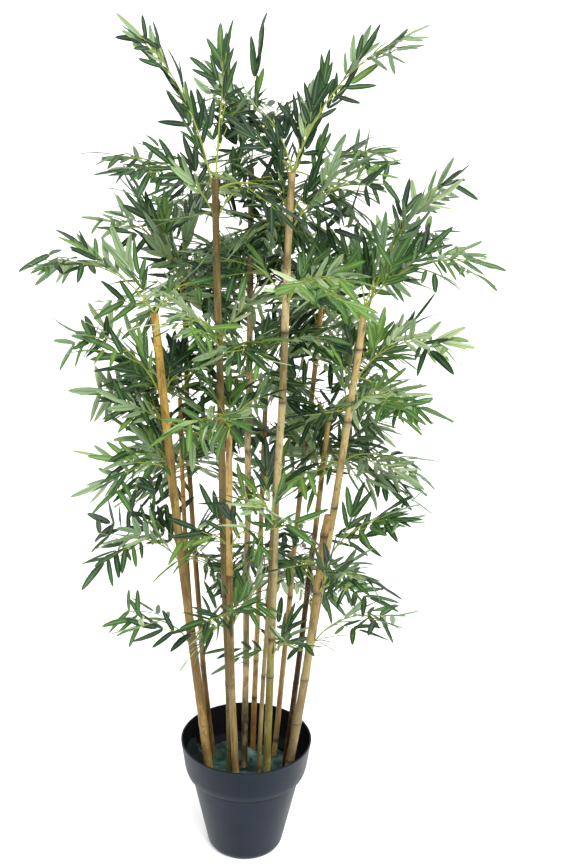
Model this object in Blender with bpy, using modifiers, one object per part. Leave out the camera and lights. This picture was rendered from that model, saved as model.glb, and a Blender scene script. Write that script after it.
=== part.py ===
"""Artificial bamboo in a pot: natural canes set in a filled pot, with sprays of fabric leaves.

Metres, +Z up. The origin is the middle of the pot's flat underside, and -Y is the front.
"""

import math
import random
from collections import namedtuple

import bmesh
import bpy
import numpy as np
from mathutils import Matrix, Vector
from mathutils.bvhtree import BVHTree

GAP = 0.0003  # clearance between pieces that touch

# Pot: a thin turned cup, its upper part stepped out into a collar
POT_SIDES = 30
WALL = 0.003
POT_HEIGHT = 0.223
RIM_RADIUS = 0.120
LIP = 0.0012  # rounding of the rim's edges
COLLAR_FOOT_Z = 0.162
COLLAR_FOOT_RADIUS = 0.112
NECK_Z = 0.152  # where the straight body meets the collar's underside
NECK_RADIUS = 0.1005
BASE_RADIUS = 0.068  # the body's taper carried down to the ground
CORNER = 0.008  # rounding between the body and the underside
FILL_Z = 0.146  # surface of the filling
SOCKET_FOOT = 0.106  # the canes' feet, set in the filling
SOCKET_TOP = 0.151  # where the canes' straight feet end, just above the filling

# Canes: foot (x, y) at the filling's surface, top (x, y, z), sideways bow at mid height, radius, tone
Cane = namedtuple("Cane", "foot top bow radius tone")
CANE_TAPER = 0.82  # radius at the top over radius at the foot
CANE_RUNS = 5  # straight runs along each cane above its socket
CANES = {
    "a": Cane((-0.0650, -0.0300), (-0.155, -0.070, 1.044), -0.003, 0.0083, "tan"),
    "b": Cane((-0.0696, 0.0040), (-0.118, 0.012, 0.875), -0.011, 0.0046, "brown"),
    "c": Cane((-0.0624, 0.0562), (-0.119, 0.115, 1.050), -0.010, 0.0052, "brown"),
    "d": Cane((-0.0278, -0.0400), (-0.058, -0.085, 1.261), -0.001, 0.0067, "olive"),
    "e": Cane((-0.0180, -0.0620), (-0.035, -0.100, 0.863), -0.002, 0.0064, "tan"),
    "f": Cane((-0.0038, 0.0272), (-0.004, 0.050, 1.256), 0.000, 0.0061, "olive"),
    "g": Cane((0.0124, 0.0715), (0.026, 0.110, 0.863), 0.000, 0.0053, "orange"),
    "h": Cane((0.0228, -0.0600), (0.038, -0.085, 0.696), -0.001, 0.0041, "olive"),
    "i": Cane((0.0371, -0.0350), (0.059, -0.075, 1.271), -0.002, 0.0070, "olive"),
    "j": Cane((0.0528, 0.0584), (0.119, 0.110, 1.013), -0.001, 0.0053, "orange"),
    "k": Cane((0.0726, 0.0160), (0.131, 0.035, 0.830), 0.003, 0.0056, "brown"),
    "l": Cane((0.0735, -0.0360), (0.132, -0.060, 0.695), 0.005, 0.0081, "tan"),
    "m": Cane((0.0774, -0.0060), (0.184, -0.010, 1.042), 0.004, 0.0072, "tan"),
}

# Sprays of each cane: height of the root, compass direction in degrees, reach and rise of the tip
END = None  # in place of a height: the spray grows from the cane's cut end
SPRAYS = {
    "a": [(END, 188, 0.215, 0.073), (0.910, 166, 0.182, 0.078), (0.854, 138, 0.166, 0.012),
          (0.773, 219, 0.164, -0.016), (0.605, 183, 0.181, 0.017), (0.446, 182, 0.158, 0.026)],
    "b": [(END, 119, 0.169, -0.017)],
    "c": [(END, 161, 0.168, 0.098), (1.032, 213, 0.118, 0.196), (1.015, 83, 0.227, 0.035),
          (0.714, 108, 0.218, -0.053)],
    "d": [(END, 24, 0.025, 0.235), (1.245, 198, 0.149, 0.248), (1.205, 156, 0.207, 0.061),
          (0.994, 248, 0.189, 0.051)],
    "e": [(END, 254, 0.166, 0.030), (0.650, 300, 0.175, 0.046), (0.502, 250, 0.127, 0.031)],
    "f": [(END, 37, 0.016, 0.241), (1.235, 128, 0.127, 0.177), (1.037, 86, 0.265, 0.010),
          (0.912, 267, 0.243, 0.077)],
    "g": [(END, 81, 0.253, -0.096), (0.538, 88, 0.208, -0.098)],
    "h": [(END, 249, 0.150, 0.050)],
    "i": [(END, 359, 0.202, 0.211), (1.250, 62, 0.107, 0.149), (1.209, 30, 0.204, 0.075),
          (1.184, 338, 0.184, 0.071), (1.069, 289, 0.245, 0.024), (0.420, 304, 0.151, 0.042)],
    "j": [(END, 26, 0.206, 0.013), (0.970, 81, 0.246, 0.049), (0.753, 64, 0.229, -0.118),
          (0.513, 48, 0.161, -0.110)],
    "k": [(END, 63, 0.230, -0.110), (0.731, 5, 0.203, -0.058)],
    "l": [(0.601, 5, 0.182, 0.084), (0.552, 295, 0.183, 0.074), (0.448, 357, 0.191, 0.039)],
    "m": [(END, 352, 0.226, 0.073), (1.022, 29, 0.188, 0.231), (0.921, 340, 0.202, 0.068),
          (0.861, 299, 0.219, 0.036), (0.771, 34, 0.196, -0.071)],
}

# Spray: a stem that rises from its cane and arches over, twigs on both sides, leaves in pairs
STUB = 0.005  # straight start of a stem, square to the cane
STEM_RUNS = 4
STEM_RADIUS = (0.0020, 0.0014)
KNEE_OUT = 0.30  # the arch's knee: how far out it stands, over the reach
KNEE_ARCH = 0.35  # and how high, over the reach
KNEE_RISE = 0.55  # with this share of the tip's rise
TWIG_SPACING = 0.062
TWIG_FIRST = 0.22  # share of the stem below its first twig
TWIG_LENGTH = (0.074, 0.033)  # at the stem's foot and at its tip
TWIG_RADIUS = (0.0013, 0.0010)
TWIG_ANGLE = (62, 32)  # between twig and stem, at the stem's foot and at its tip
TWIG_SAG = 0.12
TWIG_ROLL = (22, 130)  # how far twigs turn out of the spray's plane, on a level and a steep stem
STEM_PAIR = 0.12  # where along the stem its own pair of leaves stands
STEM_PAIR_TILT = 30  # most that a leaf turns each way from its place, in degrees
TWIG_PAIR_TILT = 25
TWIG_END_TILT = 12
PAIR_PLACES = (0.55,)  # where along a twig its pairs of leaves stand
PAIR_SIZE = 0.94  # length of a paired leaf, over that of a twig's last leaf
LEAF_ANGLE = (32, 48)
LEAF_LENGTH = 0.080
LEAF_WIDTH = 0.0180
LEAF_KEEL = 0.0020  # depth of the fold along the middle of a leaf
LEAF_WAIST = 0.30  # where a leaf is widest, from its root
LEAF_SUNK = 0.0008  # how far a leaf's root is sunk past its twig's axis
OUTER = 0.15  # leaves of one spray keep clear of each other from here to the tip
ASIDE = (0, 8, -8, 16, -16, 24, -24)  # degrees that a stem turns aside to pass another piece
SPREAD = 0.115  # a spray keeps within this distance of its stem
CROWN_TOP = 1.500
TRIES = 5  # places tried for a twig or leaf before it is skipped

TONES = {
    "tan": (0.52, 0.34, 0.13),
    "olive": (0.33, 0.28, 0.10),
    "orange": (0.45, 0.22, 0.07),
    "brown": (0.22, 0.12, 0.055),
}
POT_COLOR = (0.045, 0.050, 0.060)
FILL_COLOR = (0.040, 0.120, 0.085)
LEAF_COLOR = (0.055, 0.170, 0.050)


def material(name, color, roughness):
    """A Principled material in one plain colour."""
    result = bpy.data.materials.new(name)
    result.use_nodes = True
    shader = result.node_tree.nodes["Principled BSDF"]
    shader.inputs["Base Color"].default_value = (*color, 1.0)
    shader.inputs["Roughness"].default_value = roughness
    shader.inputs["Metallic"].default_value = 0.0
    result.diffuse_color = (*color, 1.0)
    return result


def collection(name):
    result = bpy.data.collections.new(name)
    bpy.context.scene.collection.children.link(result)
    return result


def add(name, data, group, finish=None):
    """An object in a collection, with its material."""
    result = bpy.data.objects.new(name, data)
    if finish:
        data.materials.append(finish)
    group.objects.link(result)
    return result


def as_mesh(source):
    """The evaluated shape of an object as a mesh of its own."""
    graph = bpy.context.evaluated_depsgraph_get()
    mesh = bpy.data.meshes.new_from_object(source.evaluated_get(graph))
    mesh.transform(source.matrix_world)
    return mesh


def shape_of(mesh):
    shape = bmesh.new()
    shape.from_mesh(mesh)
    return shape


def face_out(shape):
    """Turns a closed shape's faces outward."""
    bmesh.ops.recalc_face_normals(shape, faces=shape.faces)
    if shape.calc_volume(signed=True) < 0:
        bmesh.ops.reverse_faces(shape, faces=shape.faces)


def tube_mesh(curve):
    """A curve's tube as a closed mesh, its caps welded on; the curve is removed."""
    mesh = as_mesh(curve)
    bpy.data.objects.remove(curve)
    shape = shape_of(mesh)
    bmesh.ops.remove_doubles(shape, verts=shape.verts, dist=1e-6)
    face_out(shape)
    shape.to_mesh(mesh)
    shape.free()
    return mesh


def path_curve(places, radii):
    """A straight-run curve with capped ends through some places, with a radius at each."""
    data = bpy.data.curves.new("path", "CURVE")
    data.dimensions = "3D"
    data.use_fill_caps = True
    spline = data.splines.new("POLY")
    spline.points.add(len(places) - 1)
    for point, place, radius in zip(spline.points, places, radii):
        point.co = (*place, 1)
        point.radius = radius
    return data


def make_cutter(item):
    item.hide_render = True
    item.display_type = "WIRE"


# ---- pot and filling


def turned(name, profile, group, finish):
    """A solid of revolution about Z from (radius, z) points, listed down its outer side."""
    mesh = bpy.data.meshes.new(name)
    verts = [(radius, 0, z) for radius, z in profile]
    mesh.from_pydata(verts, [(i, i + 1) for i in range(len(verts) - 1)], [])
    result = add(name, mesh, group, finish)
    screw = result.modifiers.new("Turn", "SCREW")
    screw.axis = "Z"
    screw.steps = POT_SIDES
    screw.render_steps = POT_SIDES
    screw.use_merge_vertices = True
    screw.merge_threshold = 1e-5
    screw.use_smooth_shade = True
    return result


def body_radius(z):
    """The outer radius of the pot's straight body at a height."""
    return BASE_RADIUS + (NECK_RADIUS - BASE_RADIUS) * z / NECK_Z


def pot_profile():
    """Up the inside from the floor's middle, over the rim, down the outside to the underside."""
    step = COLLAR_FOOT_RADIUS - WALL
    inside = [
        (0, WALL),
        (body_radius(WALL) - WALL - CORNER / 2, WALL),
        (body_radius(CORNER) - WALL, CORNER),
        (NECK_RADIUS - WALL, NECK_Z),
        (step, COLLAR_FOOT_Z + WALL),
        (RIM_RADIUS - WALL, POT_HEIGHT - LIP),
        (RIM_RADIUS - WALL + LIP, POT_HEIGHT),
    ]
    outside = [
        (RIM_RADIUS - LIP, POT_HEIGHT),
        (RIM_RADIUS, POT_HEIGHT - LIP),
        (COLLAR_FOOT_RADIUS + LIP, COLLAR_FOOT_Z + LIP),
        (COLLAR_FOOT_RADIUS - LIP, COLLAR_FOOT_Z - LIP),
        (NECK_RADIUS, NECK_Z),
        (body_radius(CORNER), CORNER),
        (BASE_RADIUS - 0.2 * CORNER, 0.3 * CORNER),
        (BASE_RADIUS - 0.8 * CORNER, 0),
        (0, 0),
    ]
    return inside + outside


def fill_profile():
    """The filling's edge down to the pot's floor, clear of the pot all round."""
    wall = WALL + 2 * GAP
    floor = WALL + GAP
    return [
        (0, FILL_Z),
        (body_radius(FILL_Z) - wall, FILL_Z),
        (body_radius(CORNER) - wall, CORNER),
        (body_radius(WALL) - wall - CORNER / 2, floor),
        (0, floor),
    ]


# ---- canes


def cane_axis(key, height):
    """The point on a cane's axis at a height: straight in its socket and bowed above it."""
    foot, top, bow = CANES[key][:3]
    share = (height - FILL_Z) / (top[2] - FILL_Z)
    free = max(0, (height - SOCKET_TOP) / (top[2] - SOCKET_TOP))
    x = foot[0] + (top[0] - foot[0]) * share + bow * 4 * free * (1 - free)
    y = foot[1] + (top[1] - foot[1]) * share
    return Vector((x, y, height))


def cane_radius(key, height):
    """A cane's radius at a height, tapering evenly from its foot to its top."""
    share = (height - FILL_Z) / (CANES[key].top[2] - FILL_Z)
    return CANES[key].radius * (1 - (1 - CANE_TAPER) * share)


def cane_curve(key, heights, growth=0.0):
    """A tube round a cane's axis through some heights, its radius grown by a margin."""
    places = [cane_axis(key, height) for height in heights]
    data = path_curve(places, [cane_radius(key, height) + growth for height in heights])
    data.bevel_depth = 1.0
    data.bevel_resolution = 2
    return data


def make_canes(group, finishes):
    """Every cane, from its foot in the filling to its cut end."""
    canes = {}
    for key, cane in CANES.items():
        step = (cane.top[2] - SOCKET_TOP) / CANE_RUNS
        heights = [SOCKET_TOP + step * number for number in range(CANE_RUNS + 1)]
        curve = cane_curve(key, [SOCKET_FOOT, *heights])
        mesh = tube_mesh(add("cane_" + key, curve, group))
        mesh.shade_smooth()
        mesh.set_sharp_from_angle(angle=math.radians(60))
        canes[key] = add("cane_" + key, mesh, group, finishes[cane.tone])
    return canes


def cut_sockets(filling, cutters):
    """Blind holes in the filling, one round each cane's foot."""
    for key in CANES:
        curve = cane_curve(key, [SOCKET_FOOT - GAP, SOCKET_TOP], GAP)
        mesh = tube_mesh(add("socket_" + key, curve, cutters))
        make_cutter(add("socket_" + key, mesh, cutters))
    cut = filling.modifiers.new("Sockets", "BOOLEAN")
    cut.operation = "DIFFERENCE"
    cut.operand_type = "COLLECTION"
    cut.collection = cutters


# ---- the room left between pieces


class Room:
    """The pieces placed so far, each with its owner, asked whether a new piece keeps clear."""

    def __init__(self):
        self.pieces = []
        self.lows = np.empty((0, 3))
        self.highs = np.empty((0, 3))

    def add(self, owner, shape):
        points = np.array([vert.co for vert in shape.verts])
        self.pieces.append((owner, BVHTree.FromBMesh(shape)))
        self.lows = np.vstack((self.lows, points.min(axis=0)))
        self.highs = np.vstack((self.highs, points.max(axis=0)))

    def is_free(self, shape, owner=None):
        """True if the shape crosses no placed piece but those of its own spray."""
        points = np.array([vert.co for vert in shape.verts])
        near = (self.lows < points.max(axis=0)) & (self.highs > points.min(axis=0))
        tree = BVHTree.FromBMesh(shape)
        for index in np.flatnonzero(near.all(axis=1)):
            other, other_tree = self.pieces[index]
            if other != owner and tree.overlap(other_tree):
                return False
        return True


# ---- sprays


def twig_shape(root, direction, length, grown=0.0):
    """A three-sided taper from its root along a direction."""
    shape = bmesh.new()
    turn = direction.to_track_quat("Z", "Y").to_matrix().to_4x4()
    place = Matrix.Translation(root + direction * length / 2) @ turn
    bmesh.ops.create_cone(
        shape, cap_ends=True, segments=3, depth=length, matrix=place,
        radius1=TWIG_RADIUS[0] + grown, radius2=TWIG_RADIUS[1] + grown,
    )
    return shape


def leaf_shape(root, direction, face, length, grown=0.0, start=0.0):
    """A keeled leaf: a four-faced cone with its corners drawn to root, tip and both edges.

    The root and the tip lie on the fold, and the edges lie one keel's depth towards the face.
    """
    shape = bmesh.new()
    bmesh.ops.create_cone(shape, cap_ends=True, segments=3, radius1=1, radius2=0, depth=1)
    across = direction.cross(face).normalized()
    face = across.cross(direction).normalized()
    waist = root + direction * length * LEAF_WAIST + face * (LEAF_KEEL + grown)
    half = across * (LEAF_WIDTH * length / LEAF_LENGTH / 2 + 2 * grown)
    heel = root + direction * length * start - face * grown
    tip = root + direction * (length + 4 * grown) - face * grown
    for vert, corner in zip(shape.verts, (heel, tip, waist - half, waist + half)):
        vert.co = corner
    face_out(shape)
    return shape


class Spray:
    """One spray's stem line, worked out from its place on the cane and its reach."""

    def __init__(self, name, key, row, surface, aside=0):
        self.name = name
        self.random = random.Random(name)
        height, compass, reach, rise = row
        turn = math.radians(compass + aside)
        self.out = Vector((math.cos(turn), math.sin(turn), 0))
        self.side = Vector((-math.sin(turn), math.cos(turn), 0))
        if height is END:
            top = CANES[key].top[2]
            axis = cane_axis(key, top)
            self.square = (axis - cane_axis(key, top - STUB)).normalized()
            self.start = axis + self.square * GAP
        else:
            axis = cane_axis(key, height)
            hit = surface.ray_cast(axis + self.out * LEAF_LENGTH, -self.out)
            self.square = hit[1].normalized()
            self.start = hit[0] + self.square * GAP
        self.bend = self.start + self.square * STUB
        up = Vector((0, 0, 1))
        self.tip = axis + self.out * reach + up * rise
        self.knee = axis + self.out * reach * KNEE_OUT + up * (KNEE_RISE * rise + KNEE_ARCH * reach)
        self.length = (self.knee - self.bend).length + (self.tip - self.knee).length
        self.bare = 1 - LEAF_LENGTH / self.length

    def point(self, share):
        """The arch from the stub's end to the tip, by the quadratic curve through the knee."""
        rest = 1 - share
        return self.bend * rest**2 + self.knee * 2 * share * rest + self.tip * share**2

    def tangent(self, share):
        rest = 1 - share
        return ((self.knee - self.bend) * rest + (self.tip - self.knee) * share).normalized()

    def holds(self, point):
        """True if a point lies within the spray's own space round its stem."""
        near = min((self.point(step / 8) - point).length for step in range(9))
        short_of_tip = (point - self.tip).dot(self.out) < GAP
        return near < SPREAD and short_of_tip and point.z < CROWN_TOP

    def stem_points(self):
        steps = [self.bare * number / STEM_RUNS for number in range(STEM_RUNS + 1)]
        return [self.start] + [self.point(share) for share in steps]

    def on_stem(self, share):
        """The point on the stem's straight runs at a share of the arch."""
        run = min(int(share / self.bare * STEM_RUNS), STEM_RUNS - 1)
        first, last = (self.bare * (run + step) / STEM_RUNS for step in (0, 1))
        return self.point(first).lerp(self.point(last), (share - first) / (last - first))


def mix(pair, share):
    return pair[0] + (pair[1] - pair[0]) * share


def stem_section(group):
    """The three-sided outline that a stem's tube is drawn from, one metre in radius."""
    outline = bpy.data.curves.new("stem_section", "CURVE")
    spline = outline.splines.new("POLY")
    spline.points.add(2)
    spline.use_cyclic_u = True
    for number, point in enumerate(spline.points):
        turn = math.tau * number / 3
        point.co = (math.cos(turn), math.sin(turn), 0, 1)
    return add("stem_section", outline, group)


def stem_mesh(spray, section, group):
    """A three-sided tapering tube along the spray's stem."""
    places = spray.stem_points()
    radii = [mix(STEM_RADIUS, number / (len(places) - 1)) for number in range(len(places))]
    data = path_curve(places, radii)
    data.bevel_mode = "OBJECT"
    data.bevel_object = section
    return tube_mesh(add(spray.name, data, group))


def place_spray(name, key, row, surface, room, section, group):
    """A spray whose stem turns aside in small steps until it keeps clear of the other pieces."""
    for aside in ASIDE:
        spray = Spray(name, key, row, surface, aside)
        spray.mesh = stem_mesh(spray, section, group)
        shape = shape_of(spray.mesh)
        if room.is_free(shape):
            break
    room.add(name, shape)
    return spray


def between(rng, limits):
    return math.radians(rng.uniform(*limits))


def grow_twigs(spray, room):
    """Twigs on alternate sides of the stem, each one tried in a few places and then skipped."""
    rng = spray.random
    count = max(2, round(spray.length * (1 - TWIG_FIRST) / TWIG_SPACING))
    spray.twigs = []
    for number in range(count):
        share = (TWIG_FIRST + (1 - TWIG_FIRST) * number / count) * spray.bare
        for _ in range(TRIES):
            tangent = spray.tangent(share)
            normal = spray.side.cross(tangent)
            steep = mix(TWIG_ROLL, abs(tangent.z) ** 3)
            roll = between(rng, (-steep, steep))
            hand = -1 if number % 2 else 1
            across = (spray.side * math.cos(roll) + normal * math.sin(roll)) * hand
            angle = math.radians(mix(TWIG_ANGLE, share)) * rng.uniform(0.85, 1.15)
            direction = tangent * math.cos(angle) + across * math.sin(angle)
            direction = (direction - Vector((0, 0, TWIG_SAG))).normalized()
            length = mix(TWIG_LENGTH, share) * rng.uniform(0.9, 1.1)
            root = spray.on_stem(share)
            last_leaf = root + direction * (length + 0.75 * LEAF_LENGTH)
            fat = twig_shape(root, direction, length + GAP, GAP)
            if spray.holds(last_leaf) and room.is_free(fat, spray.name):
                shape = twig_shape(root, direction, length)
                room.add(spray.name, shape)
                spray.twigs.append((root, direction, across, length, shape))
                break


def leaf_places(spray):
    """Root, direction, face, length and tilt of each leaf: the stem's own, then each twig's."""
    rng = spray.random
    end = spray.point(spray.bare)
    ahead = (spray.tip - end).normalized()
    normal = spray.side.cross(ahead)
    yield end - ahead * 3 * LEAF_SUNK, ahead, normal, (spray.tip - end).length, 0
    for hand in (-1, 1):
        tangent = spray.tangent(STEM_PAIR)
        side = (tangent + spray.side * hand).normalized()
        normal = spray.side.cross(tangent)
        yield spray.on_stem(STEM_PAIR) - side * LEAF_SUNK, side, normal, LEAF_LENGTH, STEM_PAIR_TILT
    for root, direction, across, length, _ in spray.twigs:
        face = direction.cross(across)
        face = face if face.z > 0 else -face
        yield root + direction * (length - 3 * LEAF_SUNK), direction, face, LEAF_LENGTH, TWIG_END_TILT
        for place in PAIR_PLACES:
            for hand in (-1, 1):
                angle = between(rng, LEAF_ANGLE) * hand
                side = direction * math.cos(angle) + across * math.sin(angle)
                stand = root + direction * length * place - side * LEAF_SUNK
                yield stand, side, face, LEAF_LENGTH * PAIR_SIZE, TWIG_PAIR_TILT


def grow_leaves(spray, room, own):
    """Leaves, each one tilted a few ways until it keeps clear, and otherwise skipped."""
    rng = spray.random
    spray.leaves = []
    for root, direction, face, length, tilt in leaf_places(spray):
        for attempt in range(TRIES):
            lean = [math.radians(rng.uniform(-tilt, tilt)) for _ in range(3)]
            nod = Matrix.Rotation(lean[0], 3, direction.cross(face))
            turn = nod @ Matrix.Rotation(lean[1], 3, face)
            way = (turn @ direction).normalized()
            normal = Matrix.Rotation(lean[2] * 1.5, 3, way) @ (turn @ face)
            size = length * (rng.uniform(0.88, 1.08) if tilt else 1)
            clear = room.is_free(leaf_shape(root, way, normal, size, GAP), spray.name)
            clear = clear and own.is_free(leaf_shape(root, way, normal, size, GAP, OUTER))
            if (not tilt or spray.holds(root + way * size)) and clear:
                shape = leaf_shape(root, way, normal, size)
                room.add(spray.name, shape)
                own.add(spray.name, leaf_shape(root, way, normal, size, 0, OUTER))
                spray.leaves.append(shape)
                break


def fuse(name, stem, shapes, group, finish):
    """One solid from a stem's mesh and the shapes that stand on it, by one Boolean union."""
    joined = collection(name + "_pieces")
    for number, shape in enumerate(shapes):
        mesh = bpy.data.meshes.new(f"{name}_piece_{number}")
        shape.to_mesh(mesh)
        make_cutter(add(mesh.name, mesh, joined))
    result = add(name, stem, group, finish)
    union = result.modifiers.new("Join", "BOOLEAN")
    union.operation = "UNION"
    union.operand_type = "COLLECTION"
    union.collection = joined
    union.solver = "MANIFOLD"
    mesh = as_mesh(result)
    result.modifiers.remove(union)
    result.data = mesh
    mesh.materials.clear()
    mesh.materials.append(finish)
    for item in list(joined.objects):
        bpy.data.objects.remove(item)
    bpy.data.collections.remove(joined)
    return result


def make_sprays(canes, room, group, finish):
    """All the sprays: first every stem, then the twigs, then the leaves, and each one fused."""
    section = stem_section(group)
    sprays = []
    for key, rows in SPRAYS.items():
        surface = BVHTree.FromBMesh(shape_of(canes[key].data))
        for number, row in enumerate(rows, 1):
            name = f"spray_{key}{number}"
            sprays.append(place_spray(name, key, row, surface, room, section, group))
    bpy.data.objects.remove(section)
    for spray in sprays:
        grow_twigs(spray, room)
    for spray in sprays:
        grow_leaves(spray, room, Room())
    for spray in sprays:
        shapes = [twig[-1] for twig in spray.twigs] + spray.leaves
        fuse(spray.name, spray.mesh, shapes, group, finish)


def main():
    for item in list(bpy.data.objects):
        bpy.data.objects.remove(item)
    plant = collection("artificial_potted_bamboo")
    cutters = collection("cutters")
    finishes = {tone: material("cane_" + tone, color, 0.5) for tone, color in TONES.items()}
    pot = turned("pot", pot_profile(), plant, material("pot", POT_COLOR, 0.6))
    filling = turned("pot_filling", fill_profile(), plant, material("filling", FILL_COLOR, 0.8))
    cut_sockets(filling, cutters)
    canes = make_canes(plant, finishes)
    room = Room()
    for item in (pot, filling, *canes.values()):
        room.add(item.name, shape_of(as_mesh(item)))
    make_sprays(canes, room, plant, material("leaf", LEAF_COLOR, 0.5))


main()
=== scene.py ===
"""Artificial bamboo in a pot, dressed: natural canes, moulded pot and sprays of fabric leaves.

Metres, +Z up. The origin is the middle of the pot's flat underside, and -Y is the front.
"""

import math
from collections import namedtuple

import bpy
import numpy as np
from mathutils import Matrix, Vector


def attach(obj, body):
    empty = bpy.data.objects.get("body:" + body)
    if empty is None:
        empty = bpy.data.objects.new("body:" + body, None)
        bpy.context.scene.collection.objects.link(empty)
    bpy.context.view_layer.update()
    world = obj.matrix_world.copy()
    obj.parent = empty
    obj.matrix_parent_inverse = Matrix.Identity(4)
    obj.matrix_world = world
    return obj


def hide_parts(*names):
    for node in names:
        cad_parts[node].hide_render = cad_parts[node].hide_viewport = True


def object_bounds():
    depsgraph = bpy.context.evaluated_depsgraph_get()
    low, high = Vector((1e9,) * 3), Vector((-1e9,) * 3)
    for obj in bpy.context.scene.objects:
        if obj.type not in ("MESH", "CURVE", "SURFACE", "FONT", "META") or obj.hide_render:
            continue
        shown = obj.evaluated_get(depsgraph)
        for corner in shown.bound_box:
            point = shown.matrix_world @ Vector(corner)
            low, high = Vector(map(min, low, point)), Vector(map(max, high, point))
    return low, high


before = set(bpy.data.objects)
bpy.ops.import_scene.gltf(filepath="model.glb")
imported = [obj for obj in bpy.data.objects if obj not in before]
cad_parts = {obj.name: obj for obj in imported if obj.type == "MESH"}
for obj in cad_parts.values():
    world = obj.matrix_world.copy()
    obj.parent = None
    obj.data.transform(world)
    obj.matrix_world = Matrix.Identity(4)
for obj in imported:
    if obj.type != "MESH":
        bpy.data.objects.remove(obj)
cad_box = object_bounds()

UP = np.array((0.0, 0.0, 1.0))

# Pot: a thin turned cup, its upper part stepped out into a collar
POT_SIDES = 120
WALL = 0.003
POT_HEIGHT = 0.223
RIM_RADIUS = 0.120
COLLAR_FOOT_Z = 0.162
COLLAR_FOOT_RADIUS = 0.112
NECK_Z = 0.152
NECK_RADIUS = 0.1005
BASE_RADIUS = 0.068
CORNER = 0.008
RECESS = 0.004  # how far the underside is dished inside its standing ring
ARC_STEPS = 5  # points on each rounded corner

# Cover sheet: a creased disc over the filling, drawn up the wall at the left as a thin film
FILL_Z = 0.146
SHEET_SIDES = 200
SHEET_RINGS = 54
SHEET_GAP = 0.0016  # between sheet and wall
SHEET_RIM = (0.78, 0.22)  # share of the way to the wall at which its rim begins, and the rim's share
SHEET_RISE = 0.003  # of its rim all round
FILM = (0.050, 2.95, 0.42)  # height of the film, its compass angle and its half width, in radians
RUCK = (0.008, 2.0, 0.4)  # and those of a lower rise beside it
PLEAT_WIDTH = 0.15
FOLD_HEIGHT = 0.015
FOLD_PITCHES = (0.115, 0.083, 0.061, 0.047, 0.034, 0.026, 0.019)
TUCKED = 8  # rings that come again below the rim
SHEET_PLY = 0.0012
SHEET_DEPTH = 0.012  # of its hidden underside below the filling's top

# Canes: foot (x, y) at the filling, top (x, y, z), bow, radius, tone, colours at foot and top, the
# heights of the joints that are known, the others following at seeded spacings, and the shares of
# the height between which one colour turns into the other
# foot colours are partly painted shade of the pot; top colours partly painted light against the crown's
# shade
Cane = namedtuple("Cane", "foot top bow radius tone low high joints change", defaults=[(0.10, 0.90)])
SOCKET_FOOT = 0.106
SOCKET_TOP = 0.151
CANE_TAPER = 0.82
CANE_SIDES = 28
CANES = {
    "a": Cane((-0.0650, -0.0300), (-0.155, -0.070, 1.044), -0.003, 0.0083, "tan",
              (0.243, 0.153, 0.039), (0.555, 0.345, 0.061), (0.273, 0.470), (0.55, 0.68)),
    "b": Cane((-0.0696, 0.0040), (-0.118, 0.012, 0.875), -0.011, 0.0046, "brown",
              (0.324, 0.188, 0.037), (0.513, 0.266, 0.051), (0.327,)),
    "c": Cane((-0.0624, 0.0562), (-0.119, 0.115, 1.050), -0.010, 0.0052, "brown",
              (0.123, 0.066, 0.013), (0.381, 0.179, 0.032), (0.335,)),
    "d": Cane((-0.0278, -0.0400), (-0.058, -0.085, 1.261), -0.001, 0.0067, "olive",
              (0.119, 0.097, 0.019), (0.241, 0.161, 0.042), (0.364,)),
    "e": Cane((-0.0180, -0.0620), (-0.035, -0.100, 0.863), -0.002, 0.0064, "tan",
              (0.143, 0.089, 0.019), (0.615, 0.393, 0.118), (0.375,)),
    "f": Cane((-0.0038, 0.0272), (-0.004, 0.050, 1.256), 0.000, 0.0061, "olive",
              (0.08, 0.063, 0.023), (0.64, 0.47, 0.24), (0.244,), (0.10, 0.17)),
    "g": Cane((0.0124, 0.0715), (0.026, 0.110, 0.863), 0.000, 0.0053, "orange",
              (0.468, 0.289, 0.06), (0.64, 0.47, 0.24), (0.262,)),
    "h": Cane((0.0228, -0.0600), (0.038, -0.085, 0.696), -0.001, 0.0041, "olive",
              (0.179, 0.147, 0.045), (0.243, 0.19, 0.063), (0.394,)),
    "i": Cane((0.0371, -0.0350), (0.059, -0.075, 1.271), -0.002, 0.0070, "olive",
              (0.241, 0.219, 0.044), (0.64, 0.47, 0.24), (0.378, 0.455)),
    "j": Cane((0.0528, 0.0584), (0.119, 0.110, 1.013), -0.001, 0.0053, "orange",
              (0.478, 0.333, 0.134), (0.615, 0.346, 0.122), (0.183, 0.475)),
    "k": Cane((0.0726, 0.0160), (0.131, 0.035, 0.830), 0.003, 0.0056, "brown",
              (0.066, 0.028, 0.01), (0.421, 0.288, 0.081), (0.210, 0.430), (0.60, 0.70)),
    "l": Cane((0.0735, -0.0360), (0.132, -0.060, 0.695), 0.005, 0.0081, "tan",
              (0.272, 0.22, 0.099), (0.41, 0.254, 0.071), (0.281,)),
    "m": Cane((0.0774, -0.0060), (0.184, -0.010, 1.042), 0.004, 0.0072, "tan",
              (0.379, 0.315, 0.135), (0.615, 0.43, 0.181), (0.690, 0.975)),
}

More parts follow.
